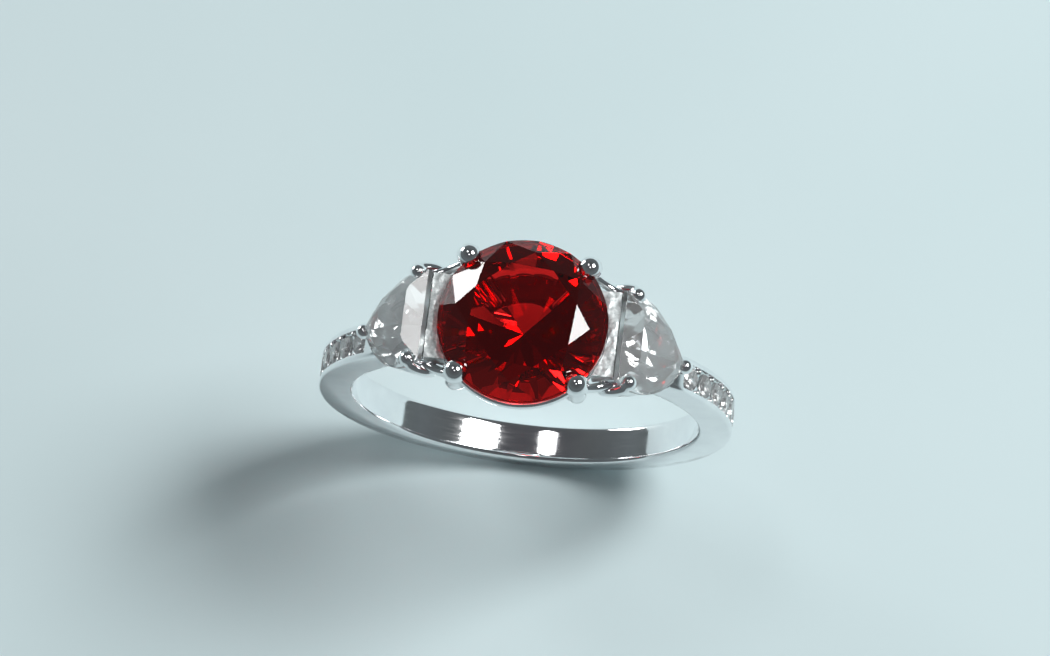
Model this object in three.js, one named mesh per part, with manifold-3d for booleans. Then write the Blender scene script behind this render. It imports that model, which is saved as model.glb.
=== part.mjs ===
// A three-stone cocktail ring: a round centre stone in a four-prong head, a half-moon stone in a
// three-prong setting on each side of it, and a row of small round stones down each shoulder.
//
// Millimetres. The origin is the centre of the finger hole, the finger runs along Y, +Z points up
// through the centre stone and X runs from one shoulder to the other.

import * as THREE from 'three';
import { ConvexGeometry } from 'three/addons/geometries/ConvexGeometry.js';
import { mergeVertices } from 'three/addons/utils/BufferGeometryUtils.js';
import Module from 'manifold-3d';

const wasm = await Module();
wasm.setup();

const DEGREE = Math.PI / 180;

// ---- Driving dimensions ------------------------------------------------------------------------

// Fits between pieces that touch on the real ring.
const SOLDER_GAP = 0.02;
const STONE_GAP = 0.02;

// Shank.
const FINGER_DIAMETER = 17.3;
const SHANK_WIDTH = 1.9;
const SHOULDER_THICKNESS = 1.65;
const SHANK_BASE_THICKNESS = 1.45;
const SHANK_EDGE = 0.18;
const BRIDGE_THICKNESS = 0.9;
const BRIDGE_MARGIN = 0.15;

// Centre stone, a round brilliant.
const CENTRE_DIAMETER = 8;
const CENTRE_TURN = 17.5 * DEGREE;
const CULET_CLEARANCE = 0.12;

// Centre head.
const PRONG_AZIMUTH = 45 * DEGREE;
const CENTRE_PRONG_RADIUS = 0.5;
const CENTRE_BALL_RADIUS = 0.55;
const CENTRE_BALL_LIFT = 0.42;
const PRONG_STANDOFF = 0.04;
const PRONG_STRAIGHT = 1.1;
const PRONG_KNEE = 0.55;
const RAIL_WIRE_RADIUS = 0.28;
const RAIL_DROP = 0.62;
const RAIL_OVERHANG = 0.06;
const BASE_RING_BORE = 2.3;
const BASE_RING_WALL = 1;
const BASE_RING_HEIGHT = 0.8;

// Side stones, half-moon brilliants that lean out from the centre stone down to the shoulders.
const SIDE_HALF_WIDTH = 2.35;
const SIDE_CURVE_LENGTH = 4;
const SIDE_CHORD_SETBACK = 1.2;
const SIDE_OUTLINE_POWER = 0.8;
const SIDE_GIRDLE = 0.24;
const SIDE_CENTRE_GAP = 0.62;
const SIDE_DROP = 0.5;
const SIDE_TIP_LIFT = 0.6;

// Side settings.
const SEAT_WALL = 0.42;
const SEAT_HEIGHT = 1.3;
const SEAT_LEDGE = 0.14;
const SIDE_PRONG_RADIUS = 0.27;
const SIDE_BALL_RADIUS = 0.37;
const SIDE_BALL_LIFT = 0.34;
const SIDE_BALL_INSET = 0.28;
const SIDE_PRONG_STANDOFF = 0.12;
const SIDE_PRONG_STRAIGHT = 1.04;
const SIDE_FOOT_OFFSET = 0.19;
const WEB_HEIGHT = 0.9;
const WEB_DROP = 0.4;
const WEB_GROOVE = 0.16;
const WEB_INSET = 0.1;
const ARM_RADIUS = 0.24;
const ARM_DROP = 0.4;
const ARM_SAG = 0.25;

// Small round stones down each shoulder.
const PAVE_COUNT = 6;
const PAVE_DIAMETER = 1.15;
const PAVE_SPACING = 0.16;
const PAVE_START_MARGIN = 1.52;
const CHANNEL_MARGIN = 0.06;
const CHANNEL_DEPTH = 0.2;
const BEAD_RADIUS = 0.14;

// Smoothness of the curved surfaces: flats round a circle, and the length of a wire's straight steps.
const RING_SEGMENTS = 72;
const RAIL_SEGMENTS = 40;
const SEAT_SEGMENTS = 16;
const CENTRE_WIRE_SIDES = 10;
const CENTRE_BALL_SIDES = 14;
const SIDE_WIRE_SIDES = 8;
const SIDE_BALL_SIDES = 10;
const BEAD_SIDES = 7;
const WIRE_STEP = 0.4;

// Cut of a round brilliant, as shares of its radius, and its facet slopes.
const BRILLIANT = {
  corners: 16,
  girdle: 0.0375,
  tableRadius: 0.647,
  starRadius: 0.8,
  crownSlope: 36 * DEGREE,
  pavilionSlope: 43 * DEGREE,
  lowerFacetRadius: 0.2,
};

// Facet slopes and depths of the half-moon cut.
const HALF_MOON = {
  corners: 12,
  tableHeight: 0.72,
  crownSlope: 36 * DEGREE,
  starShare: 0.72,
  starSlope: 19 * DEGREE,
  chordCrownSlope: 50 * DEGREE,
  pavilionSlope: 43 * DEGREE,
  pavilionShare: 0.78,
  chordPavilionSlope: 62 * DEGREE,
};

// How exactly points meet: the distance at which vertices merge, shares of a stone's size within
// which a corner lies on a facet and two corners are one, and the least volume that the normals of
// three facets span where they meet in one point.
const MERGE_DISTANCE = 1e-5;
const FACET_TOLERANCE = 1e-5;
const CORNER_TOLERANCE = 1e-3;
const PARALLEL_TOLERANCE = 1e-10;

// ---- Sizes that follow from them ---------------------------------------------------------------

const FINGER_RADIUS = FINGER_DIAMETER / 2;
const SHOULDER_RADIUS = FINGER_RADIUS + SHOULDER_THICKNESS;
const BRIDGE_RADIUS = FINGER_RADIUS + BRIDGE_THICKNESS;

// A length that outreaches the ring, for solids that only cut.
const OUTREACH = 4 * SHOULDER_RADIUS;

const CENTRE_RADIUS = CENTRE_DIAMETER / 2;
const CENTRE_HALF_GIRDLE = CENTRE_RADIUS * BRILLIANT.girdle;
const CENTRE_PAVILION_DEPTH = CENTRE_RADIUS * Math.tan(BRILLIANT.pavilionSlope);
const CULET_Z = FINGER_RADIUS + CULET_CLEARANCE;
const CENTRE_GIRDLE_Z = CULET_Z + CENTRE_PAVILION_DEPTH + CENTRE_HALF_GIRDLE;

const RAIL_RADIUS = CENTRE_RADIUS + RAIL_OVERHANG - RAIL_WIRE_RADIUS;
const RAIL_Z = CENTRE_GIRDLE_Z - RAIL_DROP;
const HEAD_OUTER_RADIUS = RAIL_RADIUS + RAIL_WIRE_RADIUS;
const BASE_RING_INNER = BASE_RING_BORE / 2;
const BASE_RING_OUTER = BASE_RING_INNER + BASE_RING_WALL;
const BASE_RING_TOP = FINGER_RADIUS + BASE_RING_HEIGHT;

// The side stone's girdle plane: u runs down the slope from the inner prongs, v along the finger
// and w out of the table. Its origin is in the girdle plane, on the line of the inner prongs.
const SIDE_CHORD_U = -SIDE_CHORD_SETBACK / 2;
const SIDE_WIDEST_U = SIDE_CHORD_SETBACK / 2;
const SIDE_TIP_U = SIDE_WIDEST_U + SIDE_CURVE_LENGTH;
const SIDE_TIP_RADIUS = SHOULDER_RADIUS + SIDE_TIP_LIFT;
const SIDE_CHORD_X = CENTRE_RADIUS + SIDE_CENTRE_GAP;
const SIDE_CHORD_Z = CENTRE_GIRDLE_Z - SIDE_DROP;
const SIDE_SLOPE = slopeThatReaches(SIDE_CHORD_X, SIDE_CHORD_Z, SIDE_TIP_U - SIDE_CHORD_U, SIDE_TIP_RADIUS);
const SIDE_FRAME = new THREE.Matrix4()
  .makeTranslation(SIDE_CHORD_X, 0, SIDE_CHORD_Z)
  .multiply(new THREE.Matrix4().makeRotationY(SIDE_SLOPE))
  .multiply(new THREE.Matrix4().makeTranslation(-SIDE_CHORD_U, 0, 0));
const HALF_TURN = new THREE.Matrix4().makeRotationZ(Math.PI);

// Where the foot of the tip prong stands on the shoulder, from +Z. The bridge ends just before it
// and the row of small stones starts just after it.
const TIP_FOOT = sidePoint(SIDE_TIP_U + SIDE_PRONG_STANDOFF, 0, -SIDE_TIP_LIFT);
const TIP_FOOT_ANGLE = Math.atan2(TIP_FOOT.x, TIP_FOOT.z);
const BRIDGE_HALF_ANGLE = TIP_FOOT_ANGLE - BRIDGE_MARGIN / SHOULDER_RADIUS;
const PAVE_START_ANGLE = TIP_FOOT_ANGLE + PAVE_START_MARGIN / SHOULDER_RADIUS;

const CHANNEL_HALF_WIDTH = PAVE_DIAMETER / 2 + CHANNEL_MARGIN;
const CHANNEL_RADIUS = SHOULDER_RADIUS - CHANNEL_DEPTH;
const PAVE_STEP = (PAVE_DIAMETER + PAVE_SPACING) / CHANNEL_RADIUS;
const PAVE_END_ANGLE = PAVE_START_ANGLE + (PAVE_COUNT - 1) * PAVE_STEP;

// A point of the side stone's frame, in the ring's frame.
function sidePoint(u, v, w) {
  return new THREE.Vector3(u, v, w).applyMatrix4(SIDE_FRAME);
}

// The slope, below horizontal, of a straight line of the given length that starts at (x, z) and
// ends on a circle of the given radius round the origin.
function slopeThatReaches(x, z, length, radius) {
  const distance = Math.hypot(x, z);
  const cosine = (distance ** 2 + length ** 2 - radius ** 2) / (2 * distance * length);
  return Math.PI - Math.atan2(z, x) - Math.acos(cosine);
}

// ---- Geometry helpers --------------------------------------------------------------------------

// Turns a closed three.js geometry into a solid that can be joined and cut.
function solid(geometry, matrix = new THREE.Matrix4()) {
  const bare = geometry.clone().applyMatrix4(matrix);
  bare.deleteAttribute('normal');
  bare.deleteAttribute('uv');
  const merged = mergeVertices(bare, MERGE_DISTANCE);
  return new wasm.Manifold(
    new wasm.Mesh({
      numProp: 3,
      vertProperties: new Float32Array(merged.getAttribute('position').array),
      triVerts: new Uint32Array(merged.getIndex().array),
    }),
  );
}

// Turns a solid back into a three.js geometry.
function geometryOf(body) {
  const mesh = body.getMesh();
  const geometry = new THREE.BufferGeometry();
  geometry.setAttribute('position', new THREE.BufferAttribute(new Float32Array(mesh.vertProperties), 3));
  geometry.setIndex(new THREE.BufferAttribute(new Uint32Array(mesh.triVerts), 1));
  geometry.computeVertexNormals();
  return geometry;
}

// A round wire along a curve.
function wire(curve, radius, sides) {
  const corners = [];
  for (let side = 0; side < sides; side += 1) {
    const angle = (2 * Math.PI * side) / sides;
    corners.push(new THREE.Vector2(radius * Math.cos(angle), radius * Math.sin(angle)));
  }
  return new THREE.ExtrudeGeometry(new THREE.Shape(corners), {
    steps: Math.ceil(curve.getLength() / WIRE_STEP),
    bevelEnabled: false,
    extrudePath: curve,
  });
}

function ball(centre, radius, sides) {
  const geometry = new THREE.SphereGeometry(radius, sides, Math.ceil(sides / 2));
  return solid(geometry.rotateX(Math.PI / 2).translate(centre.x, centre.y, centre.z));
}

// An upright cylinder round Z, from one height to another.
function uprightCylinder(radius, low, high) {
  const geometry = new THREE.CylinderGeometry(radius, radius, high - low, RAIL_SEGMENTS);
  return solid(geometry.rotateX(Math.PI / 2).translate(0, 0, (low + high) / 2));
}

// A cylinder round the finger's axis, longer than the ring is wide.
function fingerCylinder(radius) {
  return solid(new THREE.CylinderGeometry(radius, radius, OUTREACH, RING_SEGMENTS));
}

// The part of a flat ring round the finger's axis between two angles from +Z, positive towards +X.
function ringSector(inner, outer, start, end, width) {
  const shape = new THREE.Shape();
  shape.absarc(0, 0, outer, Math.PI / 2 - start, Math.PI / 2 - end, true);
  shape.absarc(0, 0, inner, Math.PI / 2 - end, Math.PI / 2 - start, false);
  shape.closePath();
  const geometry = new THREE.ExtrudeGeometry(shape, {
    depth: width,
    bevelEnabled: false,
    curveSegments: Math.ceil(((end - start) / (2 * Math.PI)) * RING_SEGMENTS),
  });
  return solid(geometry.rotateX(Math.PI / 2).translate(0, width / 2, 0));
}

// A point at an azimuth round Z.
function polar(radius, azimuth, z) {
  return new THREE.Vector3(radius * Math.cos(azimuth), radius * Math.sin(azimuth), z);
}

// ---- Cutting stones ----------------------------------------------------------------------------

// A facet is a plane that keeps the side its normal points away from.
function facetThrough(point, azimuth, slope) {
  const normal = new THREE.Vector3(
    Math.sin(slope) * Math.cos(azimuth),
    Math.sin(slope) * Math.sin(azimuth),
    Math.cos(slope),
  );
  return new THREE.Plane(normal, -normal.dot(point));
}

function facetOfThree(a, b, c, inside) {
  const plane = new THREE.Plane().setFromCoplanarPoints(a, b, c);
  return plane.distanceToPoint(inside) > 0 ? plane.negate() : plane;
}

// The point that three planes share, or null where they share a direction.
function meetingPoint(a, b, c) {
  const across = new THREE.Vector3().crossVectors(b.normal, c.normal);
  const scale = a.normal.dot(across);
  if (Math.abs(scale) < PARALLEL_TOLERANCE) {
    return null;
  }
  const point = across.multiplyScalar(-a.constant);
  point.addScaledVector(new THREE.Vector3().crossVectors(c.normal, a.normal), -b.constant);
  point.addScaledVector(new THREE.Vector3().crossVectors(a.normal, b.normal), -c.constant);
  return point.divideScalar(scale);
}

// The convex stone that is left when every facet has been ground.
function grind(facets, size) {
  const cutOff = (point) => facets.some((facet) => facet.distanceToPoint(point) > size * FACET_TOLERANCE);
  const corners = [];
  for (let i = 0; i < facets.length; i += 1) {
    for (let j = i + 1; j < facets.length; j += 1) {
      for (let k = j + 1; k < facets.length; k += 1) {
        const point = meetingPoint(facets[i], facets[j], facets[k]);
        if (point === null || cutOff(point)) {
          continue;
        }
        if (corners.every((corner) => corner.distanceTo(point) > size * CORNER_TOLERANCE)) {
          corners.push(point);
        }
      }
    }
  }
  return new ConvexGeometry(corners);
}

// One half of a brilliant cut: main facets at the even outline corners, and at each odd corner two
// half facets that rise from the girdle to the point where the mains on both sides meet.
function brilliantTiers({ corners, normals, closed, girdle, mainSlope, apexHeight, up }) {
  const inside = new THREE.Vector3(0, 0, 0);
  corners.forEach((corner) => inside.addScaledVector(corner, 1 / corners.length));
  const level = (corner) => new THREE.Vector3(corner.x, corner.y, up * girdle);
  const slope = up > 0 ? mainSlope : Math.PI - mainSlope;
  const last = corners.length - 1;
  const mains = new Map();
  for (let i = 0; i <= last; i += 2) {
    mains.set(i, facetThrough(level(corners[i]), normals[i], slope));
  }
  const facets = [...mains.values()];
  const apexes = new Map();
  for (let i = 1; i <= last; i += 2) {
    const next = closed ? (i + 1) % corners.length : i + 1;
    const height = new THREE.Plane(new THREE.Vector3(0, 0, up), -apexHeight - girdle);
    const apex = meetingPoint(mains.get(i - 1), mains.get(next), height);
    apexes.set(i, apex);
    facets.push(facetOfThree(level(corners[i - 1]), level(corners[i]), apex, inside));
    facets.push(facetOfThree(level(corners[i]), level(corners[next]), apex, inside));
  }
  return { facets, apexes };
}

// A round brilliant with its table up, its girdle centred on the origin and a main facet on +X.
function roundBrilliant(diameter) {
  const radius = diameter / 2;
  const girdle = radius * BRILLIANT.girdle;
  const step = (2 * Math.PI) / BRILLIANT.corners;
  const corners = [];
  const normals = [];
  for (let i = 0; i < BRILLIANT.corners; i += 1) {
    corners.push(polar(radius, i * step, 0));
    normals.push(i * step);
  }
  const mainRise = (share) => radius * (1 - share * Math.cos(step));
  const crown = brilliantTiers({
    corners,
    normals,
    closed: true,
    girdle,
    mainSlope: BRILLIANT.crownSlope,
    apexHeight: mainRise(BRILLIANT.starRadius) * Math.tan(BRILLIANT.crownSlope),
    up: 1,
  });
  const pavilion = brilliantTiers({
    corners,
    normals,
    closed: true,
    girdle,
    mainSlope: BRILLIANT.pavilionSlope,
    apexHeight: mainRise(BRILLIANT.lowerFacetRadius) * Math.tan(BRILLIANT.pavilionSlope),
    up: -1,
  });
  const tableHeight = girdle + radius * (1 - BRILLIANT.tableRadius) * Math.tan(BRILLIANT.crownSlope);
  const facets = [...crown.facets, ...pavilion.facets];
  facets.push(new THREE.Plane(new THREE.Vector3(0, 0, 1), -tableHeight));
  crown.apexes.forEach((apex, i) => {
    const first = polar(radius * BRILLIANT.tableRadius, normals[i] - step, tableHeight);
    const second = polar(radius * BRILLIANT.tableRadius, normals[i] + step, tableHeight);
    facets.push(facetOfThree(first, second, apex, new THREE.Vector3()));
  });
  corners.forEach((corner, i) => {
    facets.push(facetThrough(corner, normals[i] + step / 2, Math.PI / 2));
  });
  return grind(facets, diameter);
}

// The half-moon outline's half width at a distance down the slope.
function sideHalfWidth(u) {
  const share = (u - SIDE_WIDEST_U) / SIDE_CURVE_LENGTH;
  return SIDE_HALF_WIDTH * Math.max(1 - share * share, 0) ** SIDE_OUTLINE_POWER;
}

// Corners of the half-moon outline, from the chord's far end round the tip to its near end, and the
// azimuth that each one faces.
function halfMoonOutline(count) {
  const corners = [];
  for (let i = 0; i <= count; i += 1) {
    const turn = (i / count) * 2 - 1;
    const startTurn = Math.asin((SIDE_CHORD_U - SIDE_WIDEST_U) / SIDE_CURVE_LENGTH);
    const angle = startTurn + (1 - Math.abs(turn)) * (Math.PI / 2 - startTurn);
    const u = SIDE_WIDEST_U + SIDE_CURVE_LENGTH * Math.sin(angle);
    corners.push(new THREE.Vector3(u, -Math.sign(turn) * sideHalfWidth(u), 0));
  }
  const normals = corners.map((corner, i) => {
    const before = corners[Math.max(i - 1, 0)];
    const after = corners[Math.min(i + 1, count)];
    return Math.atan2(after.y - before.y, after.x - before.x) + Math.PI / 2;
  });
  return { corners, normals };
}

// A half-moon brilliant in its own u, v, w frame.
function halfMoonBrilliant() {
  const { corners, normals } = halfMoonOutline(HALF_MOON.corners);
  const girdle = SIDE_GIRDLE / 2;
  const shared = { corners, normals, closed: false, girdle };
  const crown = brilliantTiers({
    ...shared,
    mainSlope: HALF_MOON.crownSlope,
    apexHeight: HALF_MOON.tableHeight * HALF_MOON.starShare,
    up: 1,
  });
  const depth = SIDE_HALF_WIDTH * Math.tan(HALF_MOON.pavilionSlope);
  const pavilion = brilliantTiers({
    ...shared,
    mainSlope: HALF_MOON.pavilionSlope,
    apexHeight: depth * HALF_MOON.pavilionShare,
    up: -1,
  });
  const facets = [...crown.facets, ...pavilion.facets];
  facets.push(new THREE.Plane(new THREE.Vector3(0, 0, 1), -girdle - HALF_MOON.tableHeight));
  crown.apexes.forEach((apex, i) => {
    facets.push(facetThrough(apex, normals[i], HALF_MOON.starSlope));
  });
  corners.slice(1).forEach((corner, i) => {
    const edge = new THREE.Vector3().subVectors(corner, corners[i]);
    const azimuth = Math.atan2(edge.y, edge.x) + Math.PI / 2;
    facets.push(facetThrough(corner, azimuth, Math.PI / 2));
  });
  const chord = new THREE.Vector3(SIDE_CHORD_U, 0, 0);
  facets.push(facetThrough(chord, Math.PI, Math.PI / 2));
  facets.push(facetThrough(chord.clone().setZ(girdle), Math.PI, HALF_MOON.chordCrownSlope));
  facets.push(facetThrough(chord.clone().setZ(-girdle), Math.PI, Math.PI - HALF_MOON.chordPavilionSlope));
  return grind(facets, 2 * SIDE_HALF_WIDTH);
}

// ---- Stones and the room that they need in the metal -------------------------------------------

// The solid that a stone and the gap round it fill, grown about the centre of its girdle.
function roomFor(geometry, halfSize, frame, centreU = 0) {
  const growth = 1 + STONE_GAP / halfSize;
  const grown = new THREE.Matrix4()
    .makeTranslation(centreU, 0, 0)
    .multiply(new THREE.Matrix4().makeScale(growth, growth, growth))
    .multiply(new THREE.Matrix4().makeTranslation(-centreU, 0, 0));
  return solid(geometry, new THREE.Matrix4().multiplyMatrices(frame, grown));
}

const centreStone = roundBrilliant(CENTRE_DIAMETER);
const centreFrame = new THREE.Matrix4()
  .makeTranslation(0, 0, CENTRE_GIRDLE_Z)
  .multiply(new THREE.Matrix4().makeRotationZ(CENTRE_TURN));
const centreRoom = roomFor(centreStone, CENTRE_RADIUS, centreFrame);

const sideStone = halfMoonBrilliant();
const sideRoom = roomFor(sideStone, SIDE_HALF_WIDTH, SIDE_FRAME, SIDE_WIDEST_U);

const paveStone = roundBrilliant(PAVE_DIAMETER);
const paveGirdleRadius = CHANNEL_RADIUS + STONE_GAP + (PAVE_DIAMETER / 2) * BRILLIANT.girdle;

// Where a stone sits on a shoulder: turned round the finger by an angle from +Z towards +X.
function paveFrame(angle) {
  return new THREE.Matrix4()
    .makeRotationY(angle)
    .multiply(new THREE.Matrix4().makeTranslation(0, 0, paveGirdleRadius));
}

function paveAngle(index) {
  return PAVE_START_ANGLE + index * PAVE_STEP;
}

// ---- Shank -------------------------------------------------------------------------------------

// The band's thickness at an angle from +Z: full down to the shoulders, thinner under the finger.
function shankThickness(angle) {
  const below = Math.max(Math.abs(angle) - PAVE_END_ANGLE, 0) / (Math.PI - PAVE_END_ANGLE);
  const share = below * below * (3 - 2 * below);
  return SHOULDER_THICKNESS + share * (SHANK_BASE_THICKNESS - SHOULDER_THICKNESS);
}

// A full band with flat sides and broken edges, tapered by moving its outer corners inwards.
function fullBand() {
  const side = SHANK_WIDTH / 2;
  const profile = [
    [FINGER_RADIUS, -side + SHANK_EDGE],
    [FINGER_RADIUS + SHANK_EDGE, -side],
    [SHOULDER_RADIUS - SHANK_EDGE, -side],
    [SHOULDER_RADIUS, -side + SHANK_EDGE],
    [SHOULDER_RADIUS, side - SHANK_EDGE],
    [SHOULDER_RADIUS - SHANK_EDGE, side],
    [FINGER_RADIUS + SHANK_EDGE, side],
    [FINGER_RADIUS, side - SHANK_EDGE],
    [FINGER_RADIUS, -side + SHANK_EDGE],
  ];
  const points = profile.map(([radius, y]) => new THREE.Vector2(radius, y));
  const band = new THREE.LatheGeometry(points, RING_SEGMENTS);
  const position = band.getAttribute('position');
  for (let i = 0; i < position.count; i += 1) {
    const radius = Math.hypot(position.getX(i), position.getZ(i));
    const angle = Math.atan2(position.getX(i), position.getZ(i));
    const share = (radius - FINGER_RADIUS) / SHOULDER_THICKNESS;
    const tapered = (FINGER_RADIUS + share * shankThickness(angle)) / radius;
    position.setXYZ(i, position.getX(i) * tapered, position.getY(i), position.getZ(i) * tapered);
  }
  return solid(band);
}

// The sunk strip that holds one shoulder's row of stones, with a half step clear at each end.
function paveChannel() {
  return ringSector(
    CHANNEL_RADIUS,
    OUTREACH,
    PAVE_START_ANGLE - PAVE_STEP / 2,
    PAVE_END_ANGLE + PAVE_STEP / 2,
    2 * CHANNEL_HALF_WIDTH,
  );
}

// Two grains of metal that hold the stones on both sides of a gap in the row.
function beadPair(angle) {
  const sideways = CHANNEL_HALF_WIDTH - BEAD_RADIUS;
  const beads = [-sideways, sideways].map((y) => {
    const centre = new THREE.Vector3(CHANNEL_RADIUS * Math.sin(angle), y, CHANNEL_RADIUS * Math.cos(angle));
    return ball(centre, BEAD_RADIUS, BEAD_SIDES);
  });
  return beads[0].add(beads[1]);
}

function shank() {
  let band = fullBand();
  const aboveBridge = ringSector(
    BRIDGE_RADIUS,
    OUTREACH,
    -BRIDGE_HALF_ANGLE,
    BRIDGE_HALF_ANGLE,
    OUTREACH,
  );
  band = band.subtract(aboveBridge);
  band = band.subtract(uprightCylinder(BASE_RING_OUTER + SOLDER_GAP, 0, OUTREACH));
  for (const side of [1, -1]) {
    const channel = paveChannel();
    band = band.subtract(side > 0 ? channel : channel.rotate([0, 0, 180]));
    for (let gap = 1; gap < PAVE_COUNT; gap += 1) {
      band = band.add(beadPair(side * (paveAngle(gap) - PAVE_STEP / 2)));
    }
    for (let index = 0; index < PAVE_COUNT; index += 1) {
      band = band.subtract(roomFor(paveStone, PAVE_DIAMETER / 2, paveFrame(side * paveAngle(index))));
    }
  }
  return geometryOf(band);
}

// ---- Centre head -------------------------------------------------------------------------------

// The round rail under the stone's girdle.
function galleryRail(gap = 0) {
  const geometry = new THREE.TorusGeometry(
    RAIL_RADIUS,
    RAIL_WIRE_RADIUS + gap,
    CENTRE_WIRE_SIDES,
    RAIL_SEGMENTS,
  );
  return solid(geometry.translate(0, 0, RAIL_Z));
}

function baseRing() {
  const outer = uprightCylinder(BASE_RING_OUTER, 0, BASE_RING_TOP);
  const bore = uprightCylinder(BASE_RING_INNER, -OUTREACH, OUTREACH);
  return outer.subtract(bore).subtract(fingerCylinder(FINGER_RADIUS));
}

// A centre prong's path: a bead over the girdle, straight down past the rail, then in to the base
// ring. It runs a little into the ring, which cuts it off flush.
function centrePath() {
  const standRadius = CENTRE_RADIUS + PRONG_STANDOFF;
  const footRadius = (BASE_RING_INNER + BASE_RING_OUTER) / 2;
  const straight = CENTRE_GIRDLE_Z - PRONG_STRAIGHT;
  const shares = [
    [1, CENTRE_GIRDLE_Z + CENTRE_BALL_LIFT],
    [1, (CENTRE_GIRDLE_Z + straight) / 2],
    [1, straight],
    [PRONG_KNEE, (straight + BASE_RING_TOP) / 2],
    [0, BASE_RING_TOP - SOLDER_GAP],
  ];
  const points = shares.map(([share, z]) =>
    polar(footRadius + share * (standRadius - footRadius), PRONG_AZIMUTH, z));
  return new THREE.CatmullRomCurve3(points, false, 'centripetal');
}

function centreProng(gap = 0) {
  const path = centrePath();
  return solid(wire(path, CENTRE_PRONG_RADIUS + gap, CENTRE_WIRE_SIDES))
    .add(ball(path.getPoint(0), CENTRE_BALL_RADIUS + gap, CENTRE_BALL_SIDES));
}

// ---- Side settings, made for the +X side -------------------------------------------------------

// A wall under the curved edge of the stone, open along the chord.
function seatWall(gap = 0) {
  const { corners, normals } = halfMoonOutline(SEAT_SEGMENTS);
  const offset = (distance) => corners.map((corner, i) =>
    new THREE.Vector2(corner.x + distance * Math.cos(normals[i]), corner.y + distance * Math.sin(normals[i])));
  const shape = new THREE.Shape([...offset(gap), ...offset(-SEAT_WALL - gap).reverse()]);
  const geometry = new THREE.ExtrudeGeometry(shape, { depth: SEAT_HEIGHT + 2 * gap, bevelEnabled: false });
  geometry.translate(0, 0, -SEAT_LEDGE - SEAT_HEIGHT - gap);
  return solid(geometry, SIDE_FRAME);
}

// A plate that fills the space between the round head and the straight edge of the side stone.
function webPlate(gap = 0) {
  const flat = SIDE_CHORD_X - WEB_GROOVE + gap;
  const halfLength = sideHalfWidth(SIDE_CHORD_U) - WEB_INSET + gap;
  const shape = new THREE.Shape();
  shape.moveTo(flat, -halfLength);
  shape.lineTo(flat, halfLength);
  shape.lineTo(0, halfLength);
  shape.lineTo(0, -halfLength);
  shape.closePath();
  const geometry = new THREE.ExtrudeGeometry(shape, { depth: WEB_HEIGHT + 2 * gap, bevelEnabled: false });
  geometry.translate(0, 0, CENTRE_GIRDLE_Z - WEB_DROP - WEB_HEIGHT - gap);
  return solid(geometry).subtract(uprightCylinder(HEAD_OUTER_RADIUS + SOLDER_GAP - gap, 0, OUTREACH));
}

// An inner prong: a bead on the stone, down the outside of the seat, then in to the bridge.
function innerProngPath(side) {
  const stand = sideHalfWidth(0) + SIDE_PRONG_STANDOFF;
  const foot = SHANK_WIDTH / 2 - SIDE_PRONG_RADIUS;
  const below = sidePoint(0, 0, -SEAT_LEDGE - SEAT_HEIGHT);
  const footX = below.x + SIDE_FOOT_OFFSET;
  return new THREE.CatmullRomCurve3([
    sidePoint(0, side * (stand - SIDE_BALL_INSET), SIDE_BALL_LIFT),
    sidePoint(0, side * stand, 0),
    sidePoint(0, side * stand, -SIDE_PRONG_STRAIGHT),
    new THREE.Vector3((below.x + footX) / 2, side * (stand + foot) / 2, (below.z + BRIDGE_RADIUS) / 2),
    new THREE.Vector3(footX, side * foot, Math.sqrt(BRIDGE_RADIUS ** 2 - footX ** 2) - SOLDER_GAP),
  ], false, 'centripetal');
}

// The prong at the stone's tip. It runs a little into the shoulder, which cuts it off flush.
function tipProngPath() {
  const stand = SIDE_TIP_U + SIDE_PRONG_STANDOFF;
  return new THREE.CatmullRomCurve3([
    sidePoint(stand - SIDE_BALL_INSET, 0, SIDE_BALL_LIFT),
    sidePoint(stand, 0, 0),
    sidePoint(stand, 0, -SIDE_TIP_LIFT - SHOULDER_THICKNESS / 2),
  ], false, 'centripetal');
}

function sideProng(path, gap = 0) {
  return solid(wire(path, SIDE_PRONG_RADIUS + gap, SIDE_WIRE_SIDES))
    .add(ball(path.getPoint(0), SIDE_BALL_RADIUS + gap, SIDE_BALL_SIDES));
}

// A bar that joins a centre prong to an inner prong of the side stone and to the seat beside it,
// dipping between them. It runs on into the seat's wall, which cuts it off flush.
function armBar(side) {
  const start = polar(CENTRE_RADIUS + PRONG_STANDOFF, PRONG_AZIMUTH, CENTRE_GIRDLE_Z - ARM_DROP);
  const end = sidePoint(0, sideHalfWidth(0) - SEAT_WALL / 2, -SEAT_LEDGE - ARM_RADIUS);
  const middle = start.clone().lerp(end, 0.5);
  middle.z -= ARM_SAG;
  const mirror = new THREE.Vector3(1, side, 1);
  const points = [start, middle, end].map((point) => point.multiply(mirror));
  const path = new THREE.CatmullRomCurve3(points, false, 'centripetal');
  return solid(wire(path, ARM_RADIUS, SIDE_WIRE_SIDES));
}

// ---- Assembly ----------------------------------------------------------------------------------

const silver = new THREE.MeshStandardMaterial({ color: 0xd9dbdc, roughness: 0.16, metalness: 1 });
const roughSilver = new THREE.MeshStandardMaterial({ color: 0xb9bcbd, roughness: 0.55, metalness: 1 });
const ruby = new THREE.MeshStandardMaterial({ color: 0x9c0616, roughness: 0.03, metalness: 0 });
const clear = new THREE.MeshStandardMaterial({ color: 0xe8eeec, roughness: 0.03, metalness: 0 });

function piece(name, geometry, material) {
  const mesh = new THREE.Mesh(geometry, material.clone());
  mesh.name = name;
  return mesh;
}

const shoulderRoom = fingerCylinder(SHOULDER_RADIUS + SOLDER_GAP);
const bridgeRoom = fingerCylinder(BRIDGE_RADIUS + SOLDER_GAP);
const headRoom = uprightCylinder(HEAD_OUTER_RADIUS + SOLDER_GAP, 0, OUTREACH);

const ring = new THREE.Group();
ring.add(piece('shank', shank(), silver));

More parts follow.
